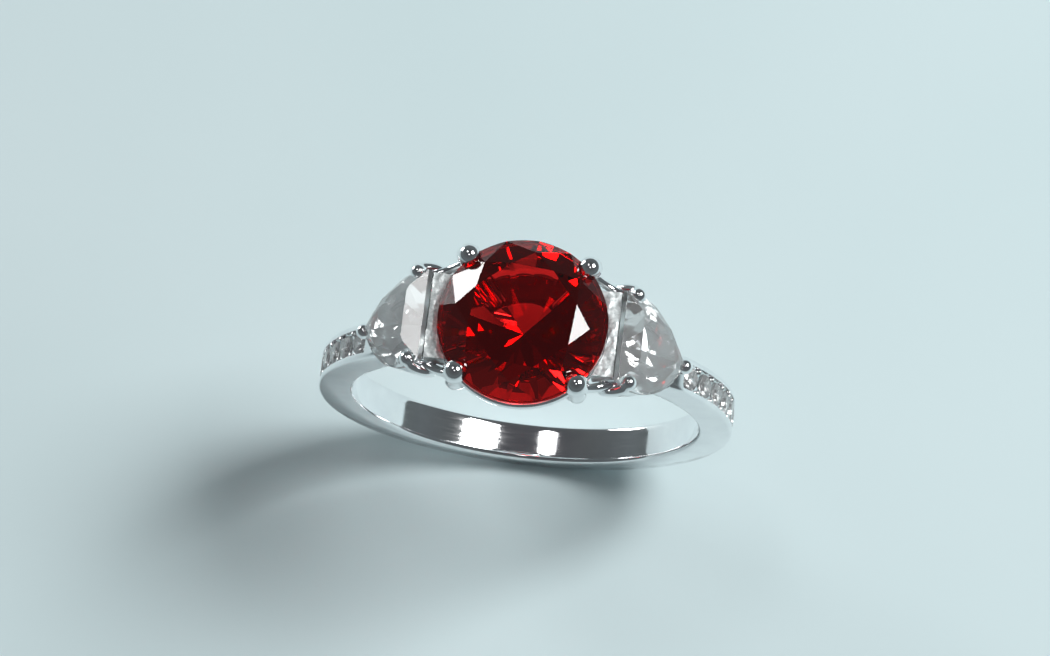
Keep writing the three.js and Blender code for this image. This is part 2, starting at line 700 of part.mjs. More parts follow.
// Centre head: a base ring on the bridge, four prongs on it and a rail just under the stone.
ring.add(piece('head_base_ring', geometryOf(baseRing()), silver));
ring.add(piece('head_gallery_rail', geometryOf(galleryRail().subtract(centreRoom)), silver));
const prongGeometry = geometryOf(
  centreProng()
    .subtract(centreRoom)
    .subtract(galleryRail(SOLDER_GAP))
    .subtract(uprightCylinder(OUTREACH, 0, BASE_RING_TOP + SOLDER_GAP)),
);
['back_right', 'back_left', 'front_left', 'front_right'].forEach((corner, quarter) => {
  const prong = piece(`centre_prong_${corner}`, prongGeometry, silver);
  prong.rotation.z = (quarter * Math.PI) / 2;
  ring.add(prong);
});
const stone = piece('centre_stone', centreStone, ruby);
stone.position.z = CENTRE_GIRDLE_Z;
stone.rotation.z = CENTRE_TURN;
ring.add(stone);

// Side settings. The left one is the right one turned half round Z, so its front piece is the
// right one's back piece.
const webRoom = webPlate(SOLDER_GAP);
const innerPaths = { back: innerProngPath(1), front: innerProngPath(-1) };
const tipPath = tipProngPath();
const seat = seatWall()
  .subtract(sideRoom)
  .subtract(headRoom)
  .subtract(shoulderRoom)
  .subtract(webRoom)
  .subtract(sideProng(innerPaths.back, SOLDER_GAP))
  .subtract(sideProng(innerPaths.front, SOLDER_GAP))
  .subtract(sideProng(tipPath, SOLDER_GAP));
const rightPieces = {
  seat: geometryOf(seat),
  web: geometryOf(webPlate().subtract(sideRoom)),
  prong_tip: geometryOf(sideProng(tipPath).subtract(sideRoom).subtract(shoulderRoom)),
};

// The seat and the gap round it, drawn out towards the chord to clear the wall's two open ends too.
const towardsChord = sidePoint(-SOLDER_GAP, 0, 0).sub(sidePoint(0, 0, 0));
const seatRoom = seatWall(SOLDER_GAP).add(seatWall(SOLDER_GAP).translate(towardsChord.toArray()));
for (const [end, side] of [['back', 1], ['front', -1]]) {
  const path = innerPaths[end];
  rightPieces[`prong_${end}`] = geometryOf(sideProng(path).subtract(sideRoom).subtract(bridgeRoom));
  const centreProngRoom = centreProng(SOLDER_GAP).rotate([0, 0, side > 0 ? 0 : -90]);
  const bar = armBar(side)
    .subtract(centreProngRoom)
    .subtract(sideProng(path, SOLDER_GAP))
    .subtract(seatRoom)
    .subtract(sideRoom)
    .subtract(galleryRail(SOLDER_GAP))
    .subtract(centreRoom);
  rightPieces[`arm_${end}`] = geometryOf(bar);
}
const endOnLeft = (name) => name.replace(/front|back/, (end) => (end === 'front' ? 'back' : 'front'));
for (const side of ['right', 'left']) {
  const setting = new THREE.Group();
  setting.applyMatrix4(side === 'left' ? HALF_TURN : new THREE.Matrix4());
  for (const [name, geometry] of Object.entries(rightPieces)) {
    const material = name === 'web' ? roughSilver : silver;
    setting.add(piece(`${side}_${side === 'left' ? endOnLeft(name) : name}`, geometry, material));
  }
  const halfMoon = piece(`${side}_half_moon_stone`, sideStone, clear);
  halfMoon.applyMatrix4(SIDE_FRAME);
  setting.add(halfMoon);
  ring.add(setting);
}

// A row of small round stones down each shoulder.
for (const [side, sign] of [['right', 1], ['left', -1]]) {
  for (let index = 0; index < PAVE_COUNT; index += 1) {
    const small = piece(`${side}_shoulder_stone_${index + 1}`, paveStone, clear);
    small.applyMatrix4(paveFrame(sign * paveAngle(index)));
    ring.add(small);
  }
}

export default ring;
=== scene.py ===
"""Looks of the three-stone ring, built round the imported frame.

Every length below is in millimetres and becomes metres where a mesh is made. The ring's axes are
the frame's: the finger runs along Y, +Z is up through the centre stone and X runs from shoulder to
shoulder.
"""

import math

import bmesh
import bpy
from mathutils import Matrix, Vector, noise


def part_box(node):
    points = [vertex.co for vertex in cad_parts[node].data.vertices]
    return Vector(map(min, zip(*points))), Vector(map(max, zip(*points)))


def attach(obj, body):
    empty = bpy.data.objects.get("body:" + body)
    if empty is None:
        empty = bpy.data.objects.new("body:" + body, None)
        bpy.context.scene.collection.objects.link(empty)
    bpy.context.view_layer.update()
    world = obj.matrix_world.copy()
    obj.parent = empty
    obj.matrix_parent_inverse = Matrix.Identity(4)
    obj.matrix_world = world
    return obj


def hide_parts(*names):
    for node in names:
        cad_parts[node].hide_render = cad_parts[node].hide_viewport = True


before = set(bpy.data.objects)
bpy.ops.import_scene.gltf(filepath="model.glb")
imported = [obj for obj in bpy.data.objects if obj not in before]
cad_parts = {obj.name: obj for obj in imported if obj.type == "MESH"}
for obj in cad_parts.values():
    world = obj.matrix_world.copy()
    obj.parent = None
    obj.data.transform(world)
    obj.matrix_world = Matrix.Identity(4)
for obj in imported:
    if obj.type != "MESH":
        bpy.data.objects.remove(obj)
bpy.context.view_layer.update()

MM = 0.001
DEGREE = math.pi / 180


def box_mm(node):
    """Lowest and highest corner of a CAD node, in millimetres."""
    low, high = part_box(node)
    return low / MM, high / MM


# ---- Cuts of the stones ------------------------------------------------------------------------

# A round brilliant: shares of its radius, and the slopes of its main facets.
GIRDLE_SHARE = 0.0375
TABLE_SHARE = 0.647
STAR_SHARE = 0.8
CROWN_SLOPE = 36 * DEGREE
PAVILION_SLOPE = 43 * DEGREE
LOWER_FACET_SHARE = 0.2

# A half-moon brilliant.
MOON_GIRDLE = 0.24
MOON_TABLE_HEIGHT = 0.72
MOON_CROWN_SLOPE = 36 * DEGREE
MOON_STAR_SHARE = 0.72
MOON_STAR_SLOPE = 19 * DEGREE
MOON_CHORD_CROWN_SLOPE = 50 * DEGREE
MOON_PAVILION_SLOPE = 43 * DEGREE
MOON_PAVILION_SHARE = 0.78
MOON_CHORD_PAVILION_SLOPE = 62 * DEGREE
MOON_CORNERS = 12

CENTRE_TURN = 17.5 * DEGREE

# ---- Sizes taken from the frame ----------------------------------------------------------------

stone_low, stone_high = box_mm("centre_stone")
shank_low, shank_high = box_mm("shank")
base_low, base_high = box_mm("head_base_ring")
rail_low, rail_high = box_mm("head_gallery_rail")

pavilion_share = math.tan(PAVILION_SLOPE)
crown_share = (1 - TABLE_SHARE) * math.tan(CROWN_SLOPE)
CENTRE_RADIUS = (stone_high.z - stone_low.z) / (pavilion_share + 2 * GIRDLE_SHARE + crown_share)
CENTRE_GIRDLE_Z = stone_low.z + CENTRE_RADIUS * (pavilion_share + GIRDLE_SHARE)

FINGER_RADIUS = 8.65
SHOULDER_RADIUS = shank_high.x
BASE_RADIUS = -shank_low.z
SHANK_WIDTH = shank_high.y - shank_low.y
SHANK_EDGE = 0.2
BRIDGE_THICKNESS = 0.9
BRIDGE_RADIUS = FINGER_RADIUS + BRIDGE_THICKNESS
BRIDGE_HALF_ANGLE = 43 * DEGREE
# The step up from the bridge to the shoulders, as angles before and after the bridge's end.
STEP_BEFORE = 1.4 * DEGREE
STEP_AFTER = 0.6 * DEGREE

BASE_RING_WALL = 1.0
BASE_RING_EDGE = 0.12
BASE_RING_OUTER = base_high.x
BASE_RING_INNER = BASE_RING_OUTER - BASE_RING_WALL
BASE_RING_TOP = base_high.z

RAIL_WIRE_RADIUS = (rail_high.z - rail_low.z) / 2
RAIL_RADIUS = rail_high.x - RAIL_WIRE_RADIUS
RAIL_Z = (rail_low.z + rail_high.z) / 2
HEAD_OUTER_RADIUS = rail_high.x

PRONG_AZIMUTH = 45 * DEGREE
PRONG_STANDOFF = 0.04
CENTRE_PRONG_RADIUS = 0.5
CENTRE_BALL_RADIUS = 0.55
CENTRE_PRONG_FOOT_RADIUS = 0.4
CENTRE_BALL_LIFT = 0.42
PRONG_STRAIGHT = 1.1
PRONG_KNEE = 0.55
PRONG_SINK = 0.05

SIDE_HALF_WIDTH = 2.35
SIDE_CURVE_LENGTH = 4.0
SIDE_CHORD_SETBACK = 1.2
SIDE_OUTLINE_POWER = 0.8
SIDE_CENTRE_GAP = 0.62
SIDE_DROP = 0.5
SIDE_TIP_LIFT = 0.6
SIDE_CHORD_U = -SIDE_CHORD_SETBACK / 2
SIDE_WIDEST_U = SIDE_CHORD_SETBACK / 2
SIDE_TIP_U = SIDE_WIDEST_U + SIDE_CURVE_LENGTH
SIDE_CHORD_X = CENTRE_RADIUS + SIDE_CENTRE_GAP
SIDE_CHORD_Z = CENTRE_GIRDLE_Z - SIDE_DROP

SEAT_WALL = 0.42
SEAT_HEIGHT = 1.3
SEAT_LEDGE = 0.1
SEAT_EDGE = 0.08
SEAT_RIM = 0.07
SEAT_LIP = 0.06
SIDE_PRONG_RADIUS = 0.27
SIDE_BALL_RADIUS = 0.37
SIDE_BALL_LIFT = 0.34
SIDE_BALL_INSET = 0.28
SIDE_PRONG_STANDOFF = 0.12
SIDE_PRONG_SPREAD = 1.05
SIDE_PRONG_SINK = 0.1
WEB_HEIGHT = 0.9
WEB_DROP = 0.4
WEB_GROOVE = 0.16
WEB_INSET = 0.1
WEB_OVERLAP = 0.03
WEB_ROUGHNESS = 0.035
ARM_RADIUS = 0.24
ARM_DROP = 0.4
ARM_SAG = 0.25
ARM_WAIST = 0.12

PAVE_COUNT = 6
PAVE_DIAMETER = 1.15
PAVE_PITCH = 1.31
PAVE_START_ANGLE = 52.3 * DEGREE
STONE_GAP = 0.02
CHANNEL_MARGIN = 0.06
CHANNEL_DEPTH = 0.2
CHANNEL_HALF_WIDTH = PAVE_DIAMETER / 2 + CHANNEL_MARGIN
CHANNEL_RADIUS = SHOULDER_RADIUS - CHANNEL_DEPTH
PAVE_STEP = PAVE_PITCH / CHANNEL_RADIUS
PAVE_END_ANGLE = PAVE_START_ANGLE + (PAVE_COUNT - 1) * PAVE_STEP
PAVE_GIRDLE_RADIUS = CHANNEL_RADIUS + STONE_GAP + PAVE_DIAMETER / 2 * GIRDLE_SHARE
BEAD_RADIUS = 0.14
BEAD_LIFT = 0.06
# The pit under a small stone: its slope, and how far down it goes.
PIT_SLOPE = 0.9
PIT_DEPTH = 0.45


def slope_that_reaches(x, z, length, radius):
    """Slope below horizontal of a line from (x, z) that ends on a circle round the origin."""
    distance = math.hypot(x, z)
    cosine = (distance**2 + length**2 - radius**2) / (2 * distance * length)
    return math.pi - math.atan2(z, x) - math.acos(cosine)


SIDE_SLOPE = slope_that_reaches(
    SIDE_CHORD_X, SIDE_CHORD_Z, SIDE_TIP_U - SIDE_CHORD_U, SHOULDER_RADIUS + SIDE_TIP_LIFT
)
SIDE_FRAME = (
    Matrix.Translation((SIDE_CHORD_X, 0, SIDE_CHORD_Z))
    @ Matrix.Rotation(SIDE_SLOPE, 4, "Y")
    @ Matrix.Translation((-SIDE_CHORD_U, 0, 0))
)
HALF_TURN = Matrix.Rotation(math.pi, 4, "Z")


# ---- Mesh helpers ------------------------------------------------------------------------------


def add_piece(name, bm, materials, node, smooth_angle=None):
    """Makes an object of a mesh in millimetres and hands it to the frame in place of a CAD node."""
    bmesh.ops.recalc_face_normals(bm, faces=bm.faces)
    bmesh.ops.scale(bm, vec=(MM, MM, MM), verts=bm.verts)
    mesh = bpy.data.meshes.new(name)
    bm.to_mesh(mesh)
    bm.free()
    for material in materials:
        mesh.materials.append(material)
    if smooth_angle is not None:
        mesh.polygons.foreach_set("use_smooth", [True] * len(mesh.polygons))
        mesh.set_sharp_from_angle(angle=smooth_angle)
    piece = bpy.data.objects.new(name, mesh)
    bpy.context.scene.collection.objects.link(piece)
    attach(piece, "root")
    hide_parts(node)


def skin(bm, rings, closed=False):
    """Quads between rings of points. The run of rings is closed on itself, or capped at its ends."""
    rows = [[bm.verts.new(point) for point in ring] for ring in rings]
    pairs = list(zip(rows, rows[1:]))
    if closed:
        pairs.append((rows[-1], rows[0]))
    for first, second in pairs:
        count = len(first)
        for i in range(count):
            j = (i + 1) % count
            bm.faces.new((first[i], first[j], second[j], second[i]))
    if not closed:
        for row in (rows[0], rows[-1]):
            middle = bm.verts.new(sum((v.co for v in row), Vector()) / len(row))
            for i, vert in enumerate(row):
                bm.faces.new((vert, row[(i + 1) % len(row)], middle))


def catmull_rom(points, samples=24):
    """Centripetal curve through the points, as many short straight steps."""
    ends = [2 * points[0] - points[1], *points, 2 * points[-1] - points[-2]]
    result = []
    for i in range(len(points) - 1):
        p = ends[i : i + 4]
        t = [0.0]
        for a, b in zip(p, p[1:]):
            t.append(t[-1] + max((b - a).length, 1e-6) ** 0.5)
        for step in range(samples):
            s = t[1] + (t[2] - t[1]) * step / samples
            a1 = p[0].lerp(p[1], (s - t[0]) / (t[1] - t[0]))
            a2 = p[1].lerp(p[2], (s - t[1]) / (t[2] - t[1]))
            a3 = p[2].lerp(p[3], (s - t[2]) / (t[3] - t[2]))
            b1 = a1.lerp(a2, (s - t[0]) / (t[2] - t[0]))
            b2 = a2.lerp(a3, (s - t[1]) / (t[3] - t[1]))
            result.append(b1.lerp(b2, (s - t[1]) / (t[2] - t[1])))
    result.append(points[-1].copy())
    return result


class Path:
    """A curve that can be read by distance along it, straight on before its start."""

    def __init__(self, points):
        self.points = catmull_rom(points)
        self.distance = [0.0]
        for a, b in zip(self.points, self.points[1:]):
            self.distance.append(self.distance[-1] + (b - a).length)
        self.length = self.distance[-1]

    def at(self, s):
        if s <= 0:
            direction = (self.points[1] - self.points[0]).normalized()
            return self.points[0] + direction * s, direction
        for i in range(1, len(self.points)):
            if s <= self.distance[i] or i == len(self.points) - 1:
                a, b = self.points[i - 1], self.points[i]
                share = (s - self.distance[i - 1]) / (self.distance[i] - self.distance[i - 1])
                return a.lerp(b, share), (b - a).normalized()


def swept(bm, path, stations, sides, across=Vector((0, 1, 0))):
    """A round bar along a path. Each station is a distance and a radius."""
    rings = []
    for s, radius in stations:
        centre, direction = path.at(s)
        first = across.cross(direction).normalized()
        second = direction.cross(first).normalized()
        ring = []
        for k in range(sides):
            angle = 2 * math.pi * k / sides
            ring.append(
                centre + radius * (math.cos(angle) * first + math.sin(angle) * second)
            )
        rings.append(ring)
    skin(bm, rings)


def ball_ended(length, ball_radius, wire_radius, foot_radius):
    """Stations of a bar that starts as a ball, narrows to a neck and runs on to its foot."""
    near_step = 0.05
    far_step = 0.12
    blend = 7
    stations = []
    steps = 14
    for k in range(1, steps + 1):
        angle = math.pi / 2 * k / steps
        stations.append((-ball_radius * math.cos(angle), ball_radius * math.sin(angle)))
    s = 0.0
    while s < length:
        s += near_step if s < 2 * ball_radius else far_step
        s = min(s, length)
        inside = max(ball_radius**2 - s**2, 0) ** 0.5
        shaft = wire_radius + (foot_radius - wire_radius) * s / length
        stations.append((s, (inside**blend + shaft**blend) ** (1 / blend)))
    return stations


def polar(radius, azimuth, z):
    return Vector((radius * math.cos(azimuth), radius * math.sin(azimuth), z))


# ---- Cutting stones ----------------------------------------------------------------------------


def facet_through(point, azimuth, slope):
    normal = Vector(
        (math.sin(slope) * math.cos(azimuth), math.sin(slope) * math.sin(azimuth), math.cos(slope))
    )
    return Vector(point), normal


def facet_of_three(a, b, c, inside):
    normal = (b - a).cross(c - a).normalized()
    if normal.dot(inside - a) > 0:
        normal = -normal
    return a.copy(), normal


def meeting_point(first, second, height):
    """Where two facets cross at a height."""
    (p, n), (q, m) = first, second
    right_n = n.dot(p) - n.z * height
    right_m = m.dot(q) - m.z * height
    determinant = n.x * m.y - n.y * m.x
    x = (right_n * m.y - n.y * right_m) / determinant
    y = (n.x * right_m - right_n * m.x) / determinant
    return Vector((x, y, height))


def brilliant_tiers(corners, normals, closed, girdle, main_slope, apex_height, up):
    """Main facets at even corners and two half facets at each odd one, above or below the girdle."""
    inside = sum(corners, Vector()) / len(corners)
    slope = main_slope if up > 0 else math.pi - main_slope
    level = [Vector((c.x, c.y, up * girdle)) for c in corners]
    mains = {
        i: facet_through(level[i], normals[i], slope) for i in range(0, len(corners), 2)
    }
    facets = list(mains.values())
    apexes = {}
    for i in range(1, len(corners), 2):
        following = (i + 1) % len(corners) if closed else i + 1
        apex = meeting_point(mains[i - 1], mains[following], up * (girdle + apex_height))
        apexes[i] = apex
        facets.append(facet_of_three(level[i - 1], level[i], apex, inside))
        facets.append(facet_of_three(level[i], level[following], apex, inside))
    return facets, apexes


def ground(outline, low, high, facets):
    """A prism of the outline, ground flat by each facet in turn. The girdle that is left is dull."""
    bm = bmesh.new()
    bottom = [bm.verts.new((p.x, p.y, low)) for p in outline]
    top = [bm.verts.new((p.x, p.y, high)) for p in outline]
    bm.faces.new(bottom)
    bm.faces.new(top)
    for i in range(len(outline)):
        j = (i + 1) % len(outline)
        bm.faces.new((bottom[i], bottom[j], top[j], top[i]))
    for point, normal in facets:
        cut = bmesh.ops.bisect_plane(
            bm,
            geom=bm.verts[:] + bm.edges[:] + bm.faces[:],
            dist=1e-6,
            plane_co=point,
            plane_no=normal,
            clear_outer=True,
        )
        edges = [e for e in cut["geom_cut"] if isinstance(e, bmesh.types.BMEdge)]
        if len(edges) > 2:
            bmesh.ops.holes_fill(bm, edges=edges)
    bmesh.ops.remove_doubles(bm, verts=bm.verts, dist=1e-4)
    bm.normal_update()
    for face in bm.faces:
        face.material_index = 1 if abs(face.normal.z) < 0.01 else 0
    return bm


def round_facets(radius):
    """Facets of a round brilliant with a main facet on +X and its girdle centred on the origin."""
    girdle = radius * GIRDLE_SHARE
    azimuths = [i * math.pi / 8 for i in range(16)]
    corners = [polar(radius, azimuth, 0) for azimuth in azimuths]

    def rise(share):
        return radius * (1 - share * math.cos(math.pi / 8))

    crown, apexes = brilliant_tiers(
        corners, azimuths, True, girdle, CROWN_SLOPE, rise(STAR_SHARE) * math.tan(CROWN_SLOPE), 1
    )
    pavilion, _ = brilliant_tiers(
        corners,
        azimuths,
        True,
        girdle,
        PAVILION_SLOPE,
        rise(LOWER_FACET_SHARE) * math.tan(PAVILION_SLOPE),
        -1,
    )
    table = girdle + radius * (1 - TABLE_SHARE) * math.tan(CROWN_SLOPE)
    facets = crown + pavilion + [(Vector((0, 0, table)), Vector((0, 0, 1)))]
    for i, apex in apexes.items():
        first = polar(radius * TABLE_SHARE, azimuths[i - 1], table)
        second = polar(radius * TABLE_SHARE, azimuths[i - 1] + math.pi / 4, table)
        facets.append(facet_of_three(first, second, apex, Vector()))
    return facets


def round_stone(radius, sides):
    outline = [polar(radius, 2 * math.pi * (k + 0.5) / sides, 0) for k in range(sides)]
    return ground(outline, -radius, radius, round_facets(radius))


def side_half_width(u):
    share = (u - SIDE_WIDEST_U) / SIDE_CURVE_LENGTH
    return SIDE_HALF_WIDTH * max(1 - share * share, 0) ** SIDE_OUTLINE_POWER


def moon_outline(count):
    """Points of the half-moon's edge from the chord's far end round the tip, and the way they face."""
    corners = []
    start = math.asin((SIDE_CHORD_U - SIDE_WIDEST_U) / SIDE_CURVE_LENGTH)
    for i in range(count + 1):
        turn = i / count * 2 - 1
        angle = start + (1 - abs(turn)) * (math.pi / 2 - start)
        u = SIDE_WIDEST_U + SIDE_CURVE_LENGTH * math.sin(angle)
        side = 0 if turn == 0 else math.copysign(1, turn)
        corners.append(Vector((u, -side * side_half_width(u), 0)))
    azimuths = []
    for i in range(count + 1):
        before = corners[max(i - 1, 0)]
        after = corners[min(i + 1, count)]
        azimuths.append(math.atan2(after.y - before.y, after.x - before.x) + math.pi / 2)
    return corners, azimuths


def moon_stone():
    corners, azimuths = moon_outline(MOON_CORNERS)
    girdle = MOON_GIRDLE / 2
    crown, apexes = brilliant_tiers(
        corners, azimuths, False, girdle, MOON_CROWN_SLOPE, MOON_TABLE_HEIGHT * MOON_STAR_SHARE, 1
    )
    depth = SIDE_HALF_WIDTH * math.tan(MOON_PAVILION_SLOPE)
    pavilion, _ = brilliant_tiers(
        corners, azimuths, False, girdle, MOON_PAVILION_SLOPE, depth * MOON_PAVILION_SHARE, -1
    )
    facets = crown + pavilion
    facets.append((Vector((0, 0, girdle + MOON_TABLE_HEIGHT)), Vector((0, 0, 1))))
    for i, apex in apexes.items():
        facets.append(facet_through(apex, azimuths[i], MOON_STAR_SLOPE))
    chord = Vector((SIDE_CHORD_U, 0, 0))
    above = chord + Vector((0, 0, girdle))
    below = chord - Vector((0, 0, girdle))
    facets.append(facet_through(above, math.pi, MOON_CHORD_CROWN_SLOPE))
    facets.append(facet_through(below, math.pi, math.pi - MOON_CHORD_PAVILION_SLOPE))
    outline, _ = moon_outline(72)
    return ground(outline, -SIDE_HALF_WIDTH * 1.5, SIDE_HALF_WIDTH, facets)


# ---- Materials ---------------------------------------------------------------------------------


def new_material(name):
    material = bpy.data.materials.new(name)
    material.use_nodes = True
    nodes = material.node_tree.nodes
    links = material.node_tree.links
    return material, nodes, links, nodes["Principled BSDF"]


def noise_node(nodes, links, coordinates, scale, detail=4.0):
    texture = nodes.new("ShaderNodeTexNoise")
    texture.inputs["Scale"].default_value = scale
    texture.inputs["Detail"].default_value = detail
    links.new(coordinates, texture.inputs["Vector"])
    return texture.outputs["Fac"]


def ramp_node(nodes, links, factor, stops):
    """A colour ramp. Each stop is a place and a grey or a colour."""
    ramp = nodes.new("ShaderNodeValToRGB")
    elements = ramp.color_ramp.elements
    while len(elements) < len(stops):
        elements.new(0.5)
    for element, (place, colour) in zip(elements, stops):
        element.position = place
        rgb = (colour,) * 3 if isinstance(colour, float) else colour
        element.color = (*rgb, 1)
    links.new(factor, ramp.inputs["Fac"])
    return ramp.outputs["Color"]


def bump_node(nodes, links, height, distance, strength):
    bump = nodes.new("ShaderNodeBump")
    bump.inputs["Distance"].default_value = distance * MM
    bump.inputs["Strength"].default_value = strength
    links.new(height, bump.inputs["Height"])
    return bump.outputs["Normal"]


def millimetres(nodes, links, stretch=(1, 1, 1)):
    """Object coordinates counted in millimetres, squeezed along the axes to stretch a texture."""
    coordinates = nodes.new("ShaderNodeTexCoord")
    mapping = nodes.new("ShaderNodeMapping")
    mapping.inputs["Scale"].default_value = [1 / (MM * s) for s in stretch]
    links.new(coordinates.outputs["Object"], mapping.inputs["Vector"])
    return mapping.outputs["Vector"]


def polished_metal(name, light, dark, smoothest, dullest):
    """Silver with a mirror polish, a faint unevenness and the fine hairlines of wear."""
    material, nodes, links, shader = new_material(name)
    shader.inputs["Metallic"].default_value = 1
    place = millimetres(nodes, links)
    cloudy = noise_node(nodes, links, place, 0.9)
    links.new(
        ramp_node(nodes, links, cloudy, [(0.3, dark), (0.7, light)]), shader.inputs["Base Color"]
    )
    hairlines = noise_node(nodes, links, millimetres(nodes, links, (4, 0.25, 4)), 3.0, 6.0)
    links.new(
        ramp_node(nodes, links, hairlines, [(0.35, smoothest), (0.75, dullest)]),
        shader.inputs["Roughness"],
    )
    links.new(bump_node(nodes, links, hairlines, 0.004, 0.12), shader.inputs["Normal"])
    return material


def cast_metal_with_painted_pit_shade(name):
    """Silver as it left the mould: pitted and dull, with painted shade in its colour, a dimmed tone
    that is a little darker still in its pits.
    """
    material, nodes, links, shader = new_material(name)
    shader.inputs["Metallic"].default_value = 1
    place = millimetres(nodes, links)
    grains_and_pit_shade = noise_node(nodes, links, place, 7.0, 6.0)
    # Painted shade: this colour ramp dims the silver and darkens it where the grains sink into pits,
    # the same places the bump lowers.
    links.new(
        ramp_node(nodes, links, grains_and_pit_shade, [(0.3, (0.44, 0.48, 0.48)), (0.62, (0.66, 0.7, 0.7))]),
        shader.inputs["Base Color"],
    )
    links.new(
        ramp_node(nodes, links, grains_and_pit_shade, [(0.3, 0.6), (0.7, 0.4)]), shader.inputs["Roughness"]
    )
    links.new(bump_node(nodes, links, grains_and_pit_shade, 0.05, 0.3), shader.inputs["Normal"])
    return material


def gem(name, colour_a, colour_b, ior, absorbed=None, density=0.0, roughness=0.0, haze=0.0):
    """A clear stone with a faint unevenness of colour, some haze and, where it is deep, colour."""
    material, nodes, links, shader = new_material(name)
    shader.inputs["Roughness"].default_value = roughness
    shader.inputs["IOR"].default_value = ior
    shader.inputs["Transmission Weight"].default_value = 1 - haze
    place = millimetres(nodes, links)
    zones = noise_node(nodes, links, place, 0.35, 2.0)
    links.new(
        ramp_node(nodes, links, zones, [(0.35, colour_a), (0.65, colour_b)]),
        shader.inputs["Base Color"],
    )
    if absorbed is not None:
        volume = nodes.new("ShaderNodeVolumeAbsorption")
        volume.inputs["Color"].default_value = (*absorbed, 1)
        volume.inputs["Density"].default_value = density
        links.new(volume.outputs["Volume"], nodes["Material Output"].inputs["Volume"])
    return material


silver = polished_metal("silver", (0.95, 0.955, 0.96), (0.86, 0.87, 0.885), 0.05, 0.13)
# Cast silver whose colour carries painted shade, darker in its pits.
cast_silver = cast_metal_with_painted_pit_shade("cast_silver")
ruby = gem(
    "ruby", (0.98, 0.05, 0.04), (0.95, 0.04, 0.04), 1.55, (0.84, 0.12, 0.12), 500
)
ruby_girdle = gem("ruby_girdle", (0.8, 0.05, 0.06), (0.7, 0.03, 0.05), 1.55, None, 0, 0.3)
clear = gem("clear", (0.985, 0.99, 0.985), (0.965, 0.98, 0.975), 1.75, haze=0.12)
clear_girdle = gem("clear_girdle", (0.95, 0.96, 0.96), (0.9, 0.93, 0.93), 1.75, None, 0, 0.3)


# ---- Shank -------------------------------------------------------------------------------------


def smooth_step(share):
    share = min(max(share, 0), 1)
    return share * share * (3 - 2 * share)


def shank_outer(angle, y):
    """Distance of the band's outside from the finger's axis at an angle from +Z."""
    turn = abs(angle)
    taper = smooth_step((turn - PAVE_END_ANGLE) / (math.pi - PAVE_END_ANGLE))
    radius = SHOULDER_RADIUS + taper * (BASE_RADIUS - SHOULDER_RADIUS)
    rise_before = 1.2 * DEGREE
    rise_length = 1.6 * DEGREE
    rise = smooth_step((turn - BRIDGE_HALF_ANGLE + rise_before) / rise_length)
    radius = BRIDGE_RADIUS + rise * (radius - BRIDGE_RADIUS)
    start = PAVE_START_ANGLE - PAVE_STEP / 2
    end = PAVE_END_ANGLE + PAVE_STEP / 2
    if start < turn < end and abs(y) < CHANNEL_HALF_WIDTH:
        radius = CHANNEL_RADIUS
        stone_radius = PAVE_DIAMETER / 2 + STONE_GAP
        for index in range(PAVE_COUNT):
            along = (turn - PAVE_START_ANGLE - index * PAVE_STEP) * CHANNEL_RADIUS
            reach = stone_radius - math.hypot(along, y)
            radius = min(radius, CHANNEL_RADIUS - min(max(reach, 0) * PIT_SLOPE, PIT_DEPTH))
    return radius


def shank_profile():
    """The section as (y, share of the way out): the inside first, then the far side and the top."""
    side = SHANK_WIDTH / 2
    edge = SHANK_EDGE
    points = []
    for k in range(9):
        points.append((-side + edge + (2 * side - 2 * edge) * k / 8, 0.0, "inner"))
    for k in range(1, 5):
        a = math.pi / 2 * k / 4
        points.append((side - edge + edge * math.sin(a), edge * (1 - math.cos(a)), "inner"))
    for k in range(1, 5):
        a = math.pi / 2 * k / 4
        points.append((side - edge * (1 - math.cos(a)), edge * (1 - math.sin(a)), "outer"))
    flat = CHANNEL_HALF_WIDTH
    rail_ends = (flat + 0.03, flat + 0.004)
    for y in rail_ends:
        points.append((y, 0.0, "outer"))
    count = 26
    for k in range(count + 1):
        points.append((flat * 0.998 * (1 - 2 * k / count), 0.0, "outer"))
    for y in reversed(rail_ends):
        points.append((-y, 0.0, "outer"))
    for k in range(0, 4):
        a = math.pi / 2 * (1 - k / 4)
        points.append((-side + edge * (1 - math.cos(a)), edge * (1 - math.sin(a)), "outer"))
    for k in range(0, 4):
        a = math.pi / 2 * (1 - k / 4)
        points.append((-side + edge - edge * math.sin(a), edge * (1 - math.cos(a)), "inner"))
    return points


def shank_angles():
    """Angles from +Z, close together where the stones sit, from inside the base ring's wall round."""
    start = math.asin((BASE_RING_INNER + BASE_RING_OUTER) / 2 / BRIDGE_RADIUS)
    channel_start = PAVE_START_ANGLE - PAVE_STEP / 2
    channel_end = PAVE_END_ANGLE + PAVE_STEP / 2
    sliver = 0.02 * DEGREE
    stops = [
        (start, BRIDGE_HALF_ANGLE - STEP_BEFORE, 20),
        (BRIDGE_HALF_ANGLE - STEP_BEFORE, BRIDGE_HALF_ANGLE + STEP_AFTER, 10),
        (BRIDGE_HALF_ANGLE + STEP_AFTER, channel_start - sliver, 4),
        (channel_start - sliver, channel_start + sliver, 1),
        (channel_start + sliver, channel_end - sliver, 150),
        (channel_end - sliver, channel_end + sliver, 1),
        (channel_end + sliver, math.pi, 60),
    ]
    half = []
    for low, high, count in stops:
        half.extend(low + (high - low) * k / count for k in range(count))
    half.append(math.pi)
    return half + [2 * math.pi - angle for angle in reversed(half[:-1])]


